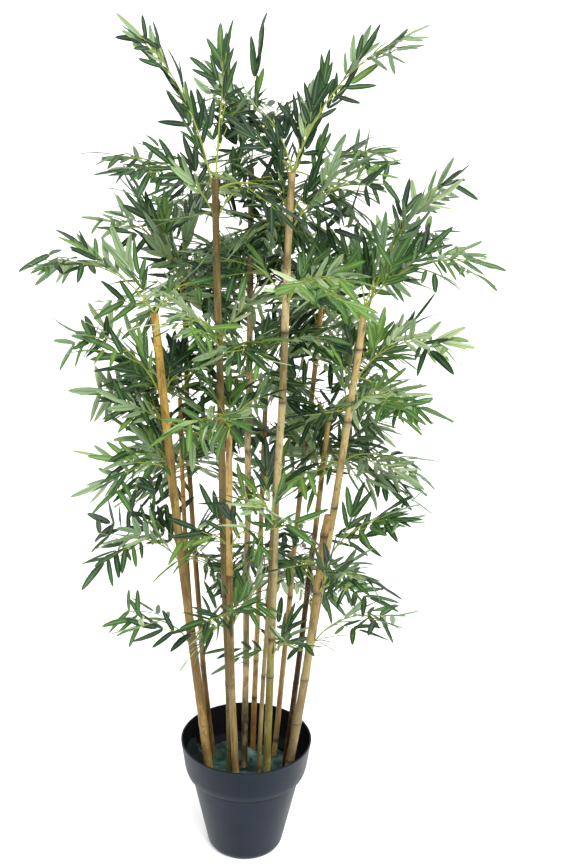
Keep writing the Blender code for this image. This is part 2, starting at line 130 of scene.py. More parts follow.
# Sprays of each cane: height of the root, compass direction in degrees, reach and rise of the tip
END = None  # in place of a height: the spray grows from the cane's cut end
SPRAYS = {
    "a": [(END, 188, 0.215, 0.073), (0.910, 166, 0.182, 0.078), (0.854, 138, 0.166, 0.012),
          (0.773, 219, 0.164, -0.016), (0.605, 183, 0.181, 0.017), (0.446, 182, 0.158, 0.026)],
    "b": [(END, 119, 0.169, -0.017)],
    "c": [(END, 161, 0.168, 0.098), (1.032, 213, 0.118, 0.196), (1.015, 83, 0.227, 0.035),
          (0.714, 108, 0.218, -0.053)],
    "d": [(END, 24, 0.025, 0.235), (1.245, 198, 0.149, 0.248), (1.205, 156, 0.207, 0.061),
          (0.994, 248, 0.189, 0.051)],
    "e": [(END, 254, 0.166, 0.030), (0.650, 300, 0.175, 0.046), (0.502, 250, 0.127, 0.031)],
    "f": [(END, 37, 0.016, 0.241), (1.235, 128, 0.127, 0.177), (1.037, 86, 0.265, 0.010),
          (0.912, 267, 0.243, 0.077)],
    "g": [(END, 81, 0.253, -0.096), (0.538, 88, 0.208, -0.098)],
    "h": [(END, 249, 0.150, 0.050)],
    "i": [(END, 359, 0.202, 0.211), (1.250, 62, 0.107, 0.149), (1.209, 30, 0.204, 0.075),
          (1.184, 338, 0.184, 0.071), (1.069, 289, 0.245, 0.024), (0.420, 304, 0.151, 0.042)],
    "j": [(END, 26, 0.206, 0.013), (0.970, 81, 0.246, 0.049), (0.753, 64, 0.229, -0.118),
          (0.513, 48, 0.161, -0.110)],
    "k": [(END, 63, 0.230, -0.110), (0.731, 5, 0.203, -0.058)],
    "l": [(0.601, 5, 0.182, 0.084), (0.552, 295, 0.183, 0.074), (0.448, 357, 0.191, 0.039)],
    "m": [(END, 352, 0.226, 0.073), (1.022, 29, 0.188, 0.231), (0.921, 340, 0.202, 0.068),
          (0.861, 299, 0.219, 0.036), (0.771, 34, 0.196, -0.071)],
}

# Rings and joints of the canes. A joint's forms are its swelling, ridge, groove and sheath lip: each
# one's share of the radius, height from the joint and spread. Its dark smudges go by strength
RING_STEP = 0.012
JOINT_RINGS = np.array((-14, -9, -6.5, -5.2, -4.4, -3.6, -2.8, -2.0, -1.2, -0.4,
                        0.4, 1.2, 2.2, 4, 7, 11)) / 1000
JOINT_FORMS = ((0.050, 0, 0.011), (0.070, 0, 0.0016), (-0.030, -0.0026, 0.0011), (0.050, -0.0042, 0.0010))
JOINT_SMUDGES = ((0.65, -0.0026, 0.0016), (0.90, -0.003, 0.009))
JOINT_FIRST = 0.165  # lowest height of a drawn one
JOINT_STEP = (0.10, 0.21)
JOINT_GAP = 0.075  # least between a known joint and a drawn one
JOG = 0.0009  # how far a cane steps aside at a joint
FLAT = 0.16  # depth of the flat on one side above a joint, over the radius
FLAT_FADE = 0.05  # height over which it fades to a third
FLAT_END = 0.09  # and at which it ends
CUT_EDGE = np.array((0.0016, 0.0005))  # the last two rings below the cut end
CUT_ROUND = 0.955  # and the radius of the last, over its full one
BORE = np.array([(0.90, 0.0), (0.60, 0.0), (0.52, -0.0012), (0.50, -0.006)])  # radius share and depth
PATTERN_GAP = 3.0  # keeps the canes' patterns apart

# Spray: a stem that rises from its cane and arches over, twigs on both sides, leaves in pairs
STEM_RUNS = 14
STEM_SIDES = 7
STEM_RADIUS = (0.0015, 0.0008)
STEM_START = 0.001  # how deep under the cane's skin its arch starts
STEM_SUNK = 0.005  # how much further it runs on into the cane
SLOT_RUNS = 7
SLOT_SIDES = 8
SLOT_RISE = (-0.003, 0.024)  # its ends, from the stem's height
SLOT_WIDTH = 0.0016
SLOT_DEPTH = 0.0006
SLOT_SUNK = 0.0003
KNEE_OUT = 0.30
KNEE_ARCH = 0.35
KNEE_RISE = 0.55
INNER = 3  # shorter sprays from the same root, turned aside, that fill the crown's middle
INNER_OTHER = {
    "d1": 1, "f1": 1, "f2": 1, "i2": 1, "d3": 2, "i6": 2, "a5": 4, "b1": 4, "e1": 4, "e2": 4,
    "i3": 4, "j1": 4, "k2": 4, "l1": 4, "m3": 4, "a4": 5, "c4": 5,
}  # sprays that have another number of them
INNER_TURN = (35, 180)  # degrees from the main one
INNER_REACH = (0.42, 0.76)  # over that of the main one
INNER_LEAST = 0.085
INNER_ABOVE = 0.50  # only one from a root below this height
INNER_RISE = (-0.85, 0.60)  # rise of their tips over their reach
INNER_FRONT = -0.3  # one that would point further to the front than this sine points back
STEEP = 0.9  # a spray that rises by more than this part of its reach counts its rise as reach
TWIG_SPACING = (0.025, 0.034)  # on a main stem and on the shorter ones
TWIG_FIRST = 0.10
TWIG_START = 0.3  # where the first stands, in steps from there
TWIGS_LOW = (0.30, 0.28, 0.4)  # they thin out towards this height over this span, to this share
TWIG_LENGTH = (0.094, 0.036)
TWIG_VARY = (0.82, 1.12)
TWIG_SLIM = 0.50  # how much shorter the twigs of an upright stem are
TWIG_RADIUS = (0.0008, 0.0006)
TWIG_RUNS = 5
TWIG_SIDES = 5
TWIG_ANGLE = (62, 38)  # between twig and stem, at the stem's foot and at its end
TWIG_SWING = (0.8, 1.2)  # times that angle, drawn for each
TWIG_SAG = 0.06
TWIG_DROOP = (-0.05, 0.12)  # how far a twig's end hangs below its straight line, over its length
TWIG_ROLL = (24, 130)  # how far twigs turn about a level stem, and about an upright one
TWIG_CLEAR = 0.001  # between twigs and canes
UPRIGHT_CLOSE = 0.72  # how much closer twigs and leaves lie to an upright stem
UPRIGHT_DENSE = 0.25  # and how many more twigs it has
SLENDER = {"d1": 0.32, "f1": 0.36}  # share of the twigs that the two thin upright shoots keep
EYE = np.array((0, -2.14, 1.60))  # a standing person's, in front
PARTED_TWIGS = 0.70  # share of the twigs kept where they would hide a cane from there
PARTED = 0.68  # and of the leaves
BEFORE = ("e3", "i6")  # sprays that hang before the canes and keep all

# Leaves of a twig; each spread is that of a normal draw
LEAF_PAIRS = 5  # at most
LEAF_GAP = 0.0190  # between pairs along a twig
LEAF_GAP_VARY = (0.9, 1.1)
LEAF_TIP_GAP = 0.011  # between the last pair and the twig's end
LEAF_BARE = 0.009  # no leaf this close to the twig's foot
LEAF_ANGLE = (80, 54)  # between leaf and twig, at the twig's foot and at its end
LEAF_OPENING = (0.75, 1.15)  # times that angle, drawn for each twig
LEAF_ANGLE_SPREAD = 6
LEAF_LEVEL = 0.7  # how far a twig's leaves are turned to face up
LEAF_BACKS = np.array((0, 0.16, 0))  # the point that leaves of upright twigs turn their backs to
LEAF_HANG = (-0.08, 0.42)  # how far the leaves of a level twig hang below its plane
LEAF_HANG_SPREAD = 0.14
LEAF_SPIN_SPREAD = 0.34
LEAF_TILT_SPREAD = 0.32
LEAF_CLEAR = 0.002  # between leaves and canes
LEAF_PAST_BOX = 0.004  # how far leaves may end past the solids' box
LEAF_PAST_TIP = 0.002  # and past their own spray's tip
LEAF_LENGTH = 0.060
LEAF_WIDTH = 0.0116
LEAF_GROWTH = (0.62, 1.02)  # leaf size at the twig's foot and at its end
LEAF_SIZE_VARY = (0.86, 1.10)
LAST_SIZE_VARY = (0.95, 1.1)  # for the one leaf at a twig's end
LEAF_WIDTH_VARY = (0.88, 1.12)
SMALL_ABOVE = 1.15  # sprays from above this height have smaller leaves
SMALL = 0.88
OPEN_BELOW = 0.61  # sprays from below this height, or above the other, stand in the open
FACINGS = (0.0, 1.2, -1.2, math.pi)  # twigs face up, left, right or down
FACING_SHARES = ((0.66, 0.07, 0.07, 0.20), (0.76, 0.08, 0.08, 0.08))  # in the thick and in the open

# Leaf blade; curl and sag are heights over its length, fold, swell and wave over its half width
LEAF_ROUND, LEAF_POINT = 0.42, 0.60  # powers of the outline at the foot and at the tip
LEAF_STATIONS = (0.04, 0.17, 0.42, 0.70, 0.90)
LEAF_FOLD = 0.20
LEAF_FOLD_VARY = (0.4, 1.6)
LEAF_SWELL = 0.10  # how far each half of the blade bulges
LEAF_TWIST = 0.35
LEAF_CURL = (0.06, 0.09)  # mean and spread
LEAF_SAG = (-0.03, 0.07)
LEAF_WAVE = (-0.10, 0.10)
LEAF_WAVES = 9
RIB = 0.090  # half width of the midrib, over the leaf's half width
VEIN_SHEEN = 0.50  # outer edge of the paler band beside the midrib, likewise: partly printed veins, partly painted highlight
KEEL = 0.16  # half width of the darker band under the midrib, likewise
PLY = 0.0003  # the leaf's half thickness at its midrib

# Points of its section: place across, height over PLY, share of the swelling, and the finish of the
# face up to the next: 0 upper side, 1 paler band of printed veins and painted highlight, 2 rib, 3
# underside, 4 band
LEAF_SECTION = np.array((
    (-RIB, 1, 0, 2), (RIB, 1, 0, 1), (VEIN_SHEEN, 0.6, 1, 0), (1, 0, 0, 3),
    (KEEL, -1, 0, 4), (-KEEL, -1, 0, 3), (-1, 0, 0, 0), (-VEIN_SHEEN, 0.6, 1, 1),
)).T

# Leaf colours, how many of a spray's twigs take each in the thick of the crown and in the open, and
# the sprays whose main tone it is; the others draw theirs
# the vein colours give the band beside the midrib: paler partly as printed veins, partly as painted
# highlight
Tone = namedtuple("Tone", "upper vein rib under shares sprays")
LEAF_TONES = {
    "shade": Tone((0.006, 0.026, 0.008), (0.013, 0.043, 0.013), (0.083, 0.154, 0.070),
                  (0.190, 0.293, 0.150), (0.20, 0.36), "d2 f2 g1 i1 i4 j3 l3"),
    "deep": Tone((0.015, 0.054, 0.012), (0.028, 0.083, 0.016), (0.137, 0.233, 0.087),
                 (0.260, 0.378, 0.187), (0.30, 0.38), "a2 a3 a5 c3 d1 d3 f1 f3 i3 i6 k1 k2 l1 l2"),
    "mid": Tone((0.045, 0.121, 0.024), (0.068, 0.164, 0.033), (0.195, 0.317, 0.099),
                (0.360, 0.481, 0.253), (0.31, 0.21), "a6 c1 e2 e3 j1 m1"),
    "fresh": Tone((0.099, 0.211, 0.034), (0.133, 0.260, 0.046), (0.276, 0.413, 0.123),
                  (0.477, 0.588, 0.329), (0.19, 0.05), "d4 i5 m3"),
}
BAND_TINT = 0.45  # how far the band under the midrib goes from the underside's colour to the vein's
MAIN_SHARE = 0.45  # share of a spray's twigs in its main tone
STRAY_SHARE = 0.20  # share of the leaves that differ from their twig
STEM_COLOR = (0.25, 0.31, 0.035)


# ---- small helpers, on whole arrays


def unit(rows):
    return rows / np.linalg.norm(rows, axis=-1, keepdims=True)


def mix(pair, share):
    return pair[0] + (pair[1] - pair[0]) * share


def bell(value, middle, spread):
    """A bell curve of height 1: e to the power -((value - middle) / spread)^2."""
    return np.exp(-((value - middle) / spread) ** 2)


def seeded(name):
    """A generator of its own for each named thing, the same in every run."""
    return np.random.default_rng([ord(letter) for letter in name])


# ---- pieces: closed shells of rings between two poles


def shell_faces(shells, rings, sides):
    """Quads between neighbouring rings, and the two fans of triangles that close each shell.

    Each shell's points are its start pole, its rings in order and its end pole.
    """
    base = np.arange(shells)[:, None, None] * (rings * sides + 2)
    side = np.arange(sides)
    here = base + 1 + np.arange(rings)[:, None] * sides + side
    beside = base + 1 + np.arange(rings)[:, None] * sides + (side + 1) % sides
    quads = np.stack((here[:, :-1], beside[:, :-1], beside[:, 1:], here[:, 1:]), axis=-1)
    start = np.broadcast_to(base[:, 0], here[:, 0].shape)
    end = start + rings * sides + 1
    opening = np.stack((start, beside[:, 0], here[:, 0]), axis=-1)
    closing = np.stack((end, here[:, -1], beside[:, -1]), axis=-1)
    return quads, opening, closing


def with_poles(values):
    """One row per point for values on rings, the poles taking the mean of their own ring."""
    shells, rings, sides = values.shape[:3]
    flat = values.reshape(shells, rings * sides, -1)
    first = flat[:, :sides].mean(axis=1, keepdims=True)
    last = flat[:, -sides:].mean(axis=1, keepdims=True)
    return np.concatenate((first, flat, last), axis=1).reshape(shells * (rings * sides + 2), -1)


def placed(name, data):
    """A new object with its data, in the scene."""
    made = bpy.data.objects.new(name, data)
    bpy.context.scene.collection.objects.link(made)
    return made


def add_piece(name, rings, finishes, slot, stands_for, poles=None, finish_picks=None, marks=None, crease=40):
    """A mesh of closed shells in the row frame, riding on the plant.

    rings holds points by shell, ring and side. poles gives each shell's two end points, which
    are else the end rings' middles. wear picks a finish for the faces of each ring gap and side,
    and marks are values at the points that the finishes read.
    """
    shells, count, sides = rings.shape[:3]
    points = with_poles(rings)
    if poles is not None:
        by_shell = points.reshape(shells, -1, 3)
        by_shell[:, 0] = poles[0]
        by_shell[:, -1] = poles[1]
    quads, opening, closing = shell_faces(shells, count, sides)
    faces = [part.reshape(-1, part.shape[-1]) for part in (quads, opening, closing)]
    mesh = bpy.data.meshes.new(name)
    mesh.from_pydata(points, [], [face for part in faces for face in part.tolist()])
    for finish in finishes:
        mesh.materials.append(finish.material)
    if finish_picks is not None:
        finish_picks = np.broadcast_to(finish_picks, (count + 1, sides))
        index = [np.tile(finish_picks[1:-1].ravel(), shells), np.tile(finish_picks[0], shells), np.tile(finish_picks[-1], shells)]
        mesh.polygons.foreach_set("material_index", np.concatenate(index).astype(np.int32))
    for mark, values in (marks or {}).items():
        kind, key = ("FLOAT_VECTOR", "vector") if values.ndim == 4 else ("FLOAT", "value")
        attribute = mesh.attributes.new(mark, kind, "POINT")
        attribute.data.foreach_set(key, with_poles(values).astype(np.float32).ravel())
    mesh.shade_smooth()
    mesh.set_sharp_from_angle(angle=math.radians(crease))
    piece = placed(name, mesh)
    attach(piece, "root")
    if stands_for:
        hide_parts(*stands_for)


def turned(profile, sides):
    """Rings of a solid of revolution: each (radius, z) of the profile swept round Z."""
    turn = np.linspace(0, math.tau, sides, endpoint=False)
    radius, height = profile[:, :1], profile[:, 1:]
    return np.stack((radius * np.cos(turn), radius * np.sin(turn), height + 0 * turn), axis=-1)[None]


def rounded(profile):
    """A profile of (radius, z) points from rows that also give each inner corner's reach.

    Each corner gives way to the quadratic curve between the points at its reach on both sides.
    """
    corners, reach = profile[:, :2], profile[1:-1, 2:]
    middle = corners[1:-1]
    before = middle + unit(corners[:-2] - middle) * reach
    after = middle + unit(corners[2:] - middle) * reach
    share = np.linspace(0, 1, ARC_STEPS)[None, :, None]
    rest = 1 - share
    arcs = before[:, None] * rest**2 + middle[:, None] * 2 * rest * share + after[:, None] * share**2
    return np.vstack((corners[:1], arcs.reshape(-1, 2), corners[-1:]))


def tubes(paths, across, widths, depths, sides):
    """Rings of tubes: an ellipse carried along each path.

    Its width lies along the across direction, squared to the path, and its depth square to both.
    """
    tangent = unit(np.gradient(paths, axis=1))
    across = np.broadcast_to(across, tangent.shape)
    across = unit(across - tangent * (across * tangent).sum(-1, keepdims=True))
    normal = np.cross(tangent, across)
    turn = np.linspace(0, math.tau, sides, endpoint=False)[:, None]
    width = (across * widths[..., None])[:, :, None] * np.cos(turn)
    depth = (normal * depths[..., None])[:, :, None] * np.sin(turn)
    return paths[:, :, None] + width + depth


# ---- finishes


class Signal:
    """A socket in a node tree, on which arithmetic adds Math nodes."""

    def __init__(self, owner, socket):
        self.owner = owner
        self.socket = socket

    def math(self, operation, *inputs):
        return self.owner.node("ShaderNodeMath", {"operation": operation}, dict(enumerate(inputs)))

    def __add__(self, other):
        return self.math("ADD", self, other)

    def __sub__(self, other):
        return self.math("SUBTRACT", self, other)

    def __rsub__(self, other):
        return self.math("SUBTRACT", other, self)

    def __mul__(self, other):
        return self.math("MULTIPLY", self, other)

    __radd__ = __add__
    __rmul__ = __mul__


class Nodes:
    """A node tree and the shader in it that signals feed."""

    def __init__(self, tree, shader):
        self.tree = tree
        self.shader = tree.nodes[shader]

    def node(self, kind, settings=None, inputs=None, output=0):
        """Adds a node: its settings first, then each socket's value or link."""
        made = self.tree.nodes.new(kind)
        for setting, value in (settings or {}).items():
            setattr(made, setting, value)
        for key, value in (inputs or {}).items():
            if isinstance(value, Signal):
                self.tree.links.new(value.socket, made.inputs[key])
            else:
                made.inputs[key].default_value = value
        return Signal(self, made.outputs[output])

    def place(self):
        return self.node("ShaderNodeTexCoord", output="Object")

    def mark(self, name, output):
        return self.node("ShaderNodeAttribute", {"attribute_name": name}, output=output)

    def noise(self, vector, scale, detail=2.0, roughness=0.5):
        inputs = {"Vector": vector, "Scale": scale, "Detail": detail, "Roughness": roughness}
        return self.node("ShaderNodeTexNoise", None, inputs)

    def drawn_noise(self, vector, squeeze, *noise):
        """Noise drawn out along Z, whose share of the vector is squeezed."""
        inputs = {0: vector, 1: (1, 1, squeeze)}
        return self.noise(self.node("ShaderNodeVectorMath", {"operation": "MULTIPLY"}, inputs), *noise)

    def step(self, value, low, high, start=0.0, end=1.0):
        """From start to end, smoothly, as value goes from low to high."""
        settings = {"interpolation_type": "SMOOTHSTEP"}
        inputs = {0: value, 1: low, 2: high, 3: start, 4: end}
        return self.node("ShaderNodeMapRange", settings, inputs)

    def blend(self, factor, first, second):
        """Colours mixed by a factor."""
        first, second = (c if isinstance(c, Signal) else (*c, 1) for c in (first, second))
        return self.node("ShaderNodeMix", {"data_type": "RGBA"}, {0: factor, 6: first, 7: second}, 2)

    def layered(self, color, layers):
        """A colour under layers, each a mask and the colour it lets through."""
        for mask, tone in layers:
            color = self.blend(mask, color, tone)
        return color

    def feed(self, socket, signal):
        self.tree.links.new(signal.socket, self.shader.inputs[socket])

    def split(self, vector):
        """The three parts of a vector."""
        parts = self.node("ShaderNodeSeparateXYZ", None, {0: vector})
        return [Signal(self, socket) for socket in parts.socket.node.outputs]


class Finish(Nodes):
    """A material with one Principled shader."""

    def __init__(self, name, color, roughness, **others):
        self.material = bpy.data.materials.new(name)
        self.material.use_nodes = True
        super().__init__(self.material.node_tree, "Principled BSDF")
        self.shader.inputs["Base Color"].default_value = (*color, 1)
        self.shader.inputs["Roughness"].default_value = roughness
        self.material.diffuse_color = (*color, 1)
        for socket, value in others.items():
            self.shader.inputs[socket.replace("_", " ")].default_value = value

    def relief(self, height, distance, strength=1.0):
        inputs = {"Height": height, "Distance": distance, "Strength": strength}
        self.feed("Normal", self.node("ShaderNodeBump", None, inputs))


def pot_finish(name, gloss, dark, pale):
    """Charcoal moulded plastic: fine matt grain, faint drag lines down the wall and dull scuffs."""
    finish = Finish(name, dark, 0.44, Specular_IOR_Level=gloss, Specular_Tint=(0.70, 0.85, 1, 1))
    place = finish.place()
    grain = finish.noise(place, 2600, 1.0)
    drag = finish.drawn_noise(place, 0.05, 210, 3.0)
    cloud = finish.noise(place, 14, 3.0)
    mask = finish.step(cloud + drag * 0.3, 0.45, 0.85)
    finish.feed("Base Color", finish.blend(mask, dark, pale))
    finish.feed("Roughness", finish.step(cloud * 0.6 + drag * 0.4, 0.3, 0.7, 0.36, 0.50))
    finish.relief(grain + drag * 0.6, 0.00010)
    return finish


def sheet_finish():
    """Teal cover sheet crumpled in small facets: painted shade in its folds, painted light on its raised
    creases.
    """
    finish = Finish("teal_cover_sheet", (0.040, 0.110, 0.085), 0.7, Specular_IOR_Level=0.22)
    place = finish.place()
    crease = finish.mark("crease", "Fac")
    cloud = finish.noise(place, 24, 4.0, 0.6)
    weave = finish.noise(place, 1500, 1.0)
    edges = {"feature": "DISTANCE_TO_EDGE"}
    coarse, fine = (finish.node("ShaderNodeTexVoronoi", edges, {"Vector": place, "Scale": scale})
                    for scale in (34, 75))
    line = finish.step(coarse, 0.040, 0.005) * finish.step(cloud, 0.46, 0.62)
    crumple = coarse * 1.4 + fine * 0.6
    deep, teal, raised = (0.012, 0.036, 0.029), (0.066, 0.145, 0.112), (0.20, 0.32, 0.27)
    finish.feed("Base Color", finish.layered(deep, (
        # deeper teal in cloudy patches, the sheet's own tone, and towards the facets' edges as painted
        # shade in their creases
        (finish.step(cloud + crumple * 0.4, 0.40, 0.85), teal),
        # paler on the raised creases: painted light
        (finish.step(crease, 0.50, 0.95, 0, 0.75), raised),
        (finish.step(crease, 0.45, 0.12, 0, 0.95), (0.006, 0.014, 0.012)),  # painted shade at the bottom of the folds and between the film's pleats
        (line * 0.13, (0.30, 0.42, 0.36)),  # painted glints on the facets' edges
    )))
    finish.feed("Roughness", 0.70 - line * 0.3)
    finish.relief(weave * 0.1 + cloud + crumple, 0.004)
    return finish


def cane_finish(name, cane):
    """Dried cane skin: fibre streaks, long blotches, grey grime and smudged joints."""
    finish = Finish(name, cane.low, 0.50, Specular_IOR_Level=0.22)
    step = finish.step
    skin = finish.mark("skin", "Vector")
    joint, height, tint = (finish.mark(mark, "Fac") for mark in ("joint", "share", "tint"))
    streak = finish.drawn_noise(skin, 0.03, 420, 3.0, 0.6)
    fibre = finish.drawn_noise(skin, 0.02, 1500)
    side = finish.drawn_noise(skin, 0.08, 110)
    blotch = finish.drawn_noise(skin, 0.3, 60, 4.0, 0.65)
    grime = finish.drawn_noise(skin, 0.5, 150, 5.0, 0.75)
    speck = finish.drawn_noise(skin, 0.6, 520)
    dark = tuple(channel * share for channel, share in zip(cane.low, (0.50, 0.42, 0.36)))
    pale = tuple(channel * 0.75 + share for channel, share in zip(cane.high, (0.12, 0.10, 0.06)))
    olive = (cane.low[1] * 0.72, cane.low[1] * 0.80, cane.low[1] * 0.36)
    soot = (0.045, 0.027, 0.014)
    low, high = cane.change
    finish.feed("Base Color", finish.layered(cane.low, (
        # from the foot's colour to the top's: the cane's own change, with painted shade low and painted
        # light high
        (step(height + blotch * 0.2, low + 0.1, high + 0.1), cane.high),
        (step(tint + side * 0.6, 0.75, 1.25, 0, 0.70), dark),  # lengths between joints that are darker
        (step(tint + side * 0.3, 0.50, 0.15, 0, 0.40), pale),  # or paler
        (step(side - tint * 0.3, 0.30, 0.62, 0, 0.40), olive),  # a greener side
        (step(streak, 0.52, 0.80, 0, 0.45), pale),
        (step(1 - streak, 0.52, 0.80, 0, 0.55), dark),
        (step(fibre, 0.58, 0.70, 0, 0.50), dark),
        (step(blotch, 0.50, 0.63, 0, 0.72), dark),
        (step(blotch, 0.46, 0.34, 0, 0.35), pale),
        (step(grime, 0.52, 0.63, 0, 0.62), (0.100, 0.078, 0.056)),
        (step(speck, 0.66, 0.76, 0, 0.50), soot),
        (step(1 - speck, 0.56, 0.68, 0, 0.65) * step(grime + joint * 0.35, 0.48, 0.72),
         (0.42, 0.34, 0.24)),  # pale scuffs, most of them at the joints
        (step(joint * (grime + 0.35), 0.15, 0.95, 0, 0.80), (0.045, 0.026, 0.014)),  # smudged joints
    )))
    finish.feed("Roughness", step(streak + blotch * 0.5, 0.5, 1.1, 0.40, 0.62))
    finish.relief(streak + fibre * 0.5 + grime * 0.5, 0.00030)
    return finish


def bare_wood(name, color, roughness, squeeze, scale, mask, dark, pale):
    """Bare wood inside a cane: pale pores or fibres in darker wood."""
    finish = Finish(name, color, roughness)
    fibre = finish.drawn_noise(finish.place(), squeeze, scale)
    finish.feed("Base Color", finish.blend(finish.step(fibre, *mask), dark, pale))
    finish.relief(fibre, 0.0002)
    return finish


def stem_finish():
    """Yellow-green moulded plastic of stems and twigs, with a fine grain."""
    finish = Finish("green_plastic_stem", STEM_COLOR, 0.48)
    finish.relief(finish.noise(finish.place(), 900), 0.00015, 0.6)
    return finish


def leaf_finish(name, color, roughness, rib, gloss):
    """Printed polyester leaf: one plain colour under fine ribs that run from root to tip."""
    finish = Finish(name, color, roughness, Specular_IOR_Level=gloss)
    across = finish.split(finish.mark("blade", "Vector"))[0]
    ribs = across.math("SINE", across * 21.0)
    weave = finish.noise(finish.place(), 1400, 1.0)
    finish.relief(ribs * 0.5 + weave * 0.25, 0.0003, rib)
    return finish


# ---- pot and filling


def body_radius(z):
    return BASE_RADIUS + (NECK_RADIUS - BASE_RADIUS) * z / NECK_Z


def make_pot():
    """The turned pot: up the outside from the underside's middle, over the rim, down the inside."""
    profile = np.array([  # radius, height and reach of the rounding
        (0.001, RECESS, 0),
        (BASE_RADIUS - 0.016, RECESS, 0.001),
        (BASE_RADIUS - 0.012, 0, 0.001),
        (BASE_RADIUS - 0.004, 0, 0.003),
        (body_radius(CORNER), CORNER, 0.005),
        (NECK_RADIUS - 0.0008, NECK_Z - 0.004, 0.002),
        (NECK_RADIUS - 0.0006, NECK_Z + 0.001, 0.0012),
        (COLLAR_FOOT_RADIUS - 0.0032, NECK_Z + 0.0052, 0.0008),
        (COLLAR_FOOT_RADIUS + 0.0004, COLLAR_FOOT_Z + 0.006, 0.005),
        (RIM_RADIUS - 0.0008, POT_HEIGHT - 0.006, 0.004),
        (RIM_RADIUS, POT_HEIGHT, 0.0014),
        (RIM_RADIUS - WALL - 0.0006, POT_HEIGHT, 0.0014),
        (RIM_RADIUS - WALL - 0.0008, POT_HEIGHT - 0.006, 0.004),
        (COLLAR_FOOT_RADIUS - WALL, COLLAR_FOOT_Z + WALL, 0.004),
        (NECK_RADIUS - WALL, NECK_Z, 0.003),
        (body_radius(CORNER) - WALL, CORNER + WALL, 0.004),
        (BASE_RADIUS - 0.012, RECESS + WALL, 0.002),
        (0.001, RECESS + WALL, 0),
    ])
    rings = turned(rounded(profile), POT_SIDES)
    ends = np.array([[0, 0, RECESS]]), np.array([[0, 0, RECESS + WALL]])
    outside = np.argmax(rings[0, :, 0, 2])
    finish_picks = (np.arange(rings.shape[1] + 1) > outside)[:, None].astype(int)
    # the inside takes a greyer, less glossy copy of the same plastic: painted shade inside the pot
    finishes = [pot_finish("charcoal_plastic", 0.22, (0.003, 0.005, 0.011), (0.008, 0.011, 0.022)),
                pot_finish("charcoal_plastic_shaded_inside", 0.10, (0.006, 0.006, 0.008), (0.011, 0.010, 0.014))]
    add_piece("pot_shell", rings, finishes, "pot", ["pot"], ends, finish_picks, crease=50)


def creases(x, y, seed):
    """Height from 0 to 1 of a creased sheet: sharp folds where slow waves cross zero.

    Each wave's direction and phase are drawn, and 1 - |sin| makes its crest a fold.
    """
    rng = seeded(seed)
    total = 0 * x
    for pitch in FOLD_PITCHES:
        turn = rng.uniform(0, math.pi)
        along = x * math.cos(turn) + y * math.sin(turn)
        cross = y * math.cos(turn) - x * math.sin(turn)
        bend = 0.35 * pitch * np.sin(cross / pitch * 2.1 + rng.uniform(0, 6))
        total = total + pitch * (1 - np.abs(np.sin((along + bend) / pitch * math.pi + rng.uniform(0, 6))))
    return (total - total.min()) / np.ptp(total)


def make_filling():
    """The cover sheet over the filling: a disc raised by folds, its rim drawn up at the left.

    Each point lies at a share of the way to the wall: the wall's own radius at the point's height,
    less a small gap. The rim is drawn up in narrow pleats, and the same rings a little lower close
    it from below.
    """
    turn = np.linspace(0, math.tau, SHEET_SIDES, endpoint=False)
    share = np.linspace(1.0, 0.012, SHEET_RINGS)[:, None]
    pleat = bell(np.sin(turn * 13 + 0.9 * np.sin(turn * 7)), 0, PLEAT_WIDTH)
    film, middle, spread = FILM
    drawn = np.exp(-((turn - middle) / spread) ** 4)
    ruck, *beside = RUCK
    lift = (film * drawn + ruck * bell(turn, *beside)) * (0.90 + 0.10 * pleat) + SHEET_RISE
    begin, width = SHEET_RIM
    edge = np.clip((share - begin) / width, 0, 1) ** 1.5
    flat = FILL_Z - 0.001
    wall = np.interp(flat + edge * lift, (0, NECK_Z, COLLAR_FOOT_Z + WALL, POT_HEIGHT),
                     (BASE_RADIUS, NECK_RADIUS, COLLAR_FOOT_RADIUS, RIM_RADIUS - 0.001)) - WALL - SHEET_GAP
    radius = wall * share * (1 - 0.03 * edge * pleat)
    x, y = radius * np.cos(turn), radius * np.sin(turn)
    fold = creases(x, y, "cover")
    height = FOLD_HEIGHT * np.clip((1 - share) / 0.18, 0.1, 1)
    top = np.stack((x, y, flat + height * (fold - 0.40) + edge * lift), axis=-1)
    below = top[TUCKED::-1] * (0.992, 0.992, 1) - UP * SHEET_PLY
    foot = FILL_Z - SHEET_DEPTH
    skirt = np.stack((x[TUCKED] * 0.9, y[TUCKED] * 0.9, 0 * x[0] + foot), axis=-1)[None]
    rings = np.concatenate((skirt, below, top))[None]
    # on the film the mark follows the pleats, so the finish paints shade between them and light on them
    fold = fold + (0.10 + 0.90 * pleat - fold) * np.clip(edge * 5, 0, 1) * drawn
    crease = np.concatenate((0 * fold[:TUCKED + 2], fold))[None]
    ends = np.array([[0, 0, foot]]), top[-1].mean(axis=0)[None]
    add_piece("cover_sheet", rings, [sheet_finish()], "pot_filling", ["pot_filling"], ends,
              marks={"crease": crease}, crease=70)


# ---- canes


def cane_axis(cane, height):
    """Points on a cane's axis at some heights: straight in its socket and bowed above it."""
    height = np.asarray(height, float)
    top = cane.top[2]
    share = (height - FILL_Z) / (top - FILL_Z)
    free = np.maximum(0, (height - SOCKET_TOP) / (top - SOCKET_TOP))
    x = cane.foot[0] + (cane.top[0] - cane.foot[0]) * share + cane.bow * 4 * free * (1 - free)
    y = cane.foot[1] + (cane.top[1] - cane.foot[1]) * share
    return np.stack((x, y, height), axis=-1)


def cane_radius(cane, height):
    share = (np.asarray(height, float) - FILL_Z) / (cane.top[2] - FILL_Z)
    return cane.radius * (1 - (1 - CANE_TAPER) * share)


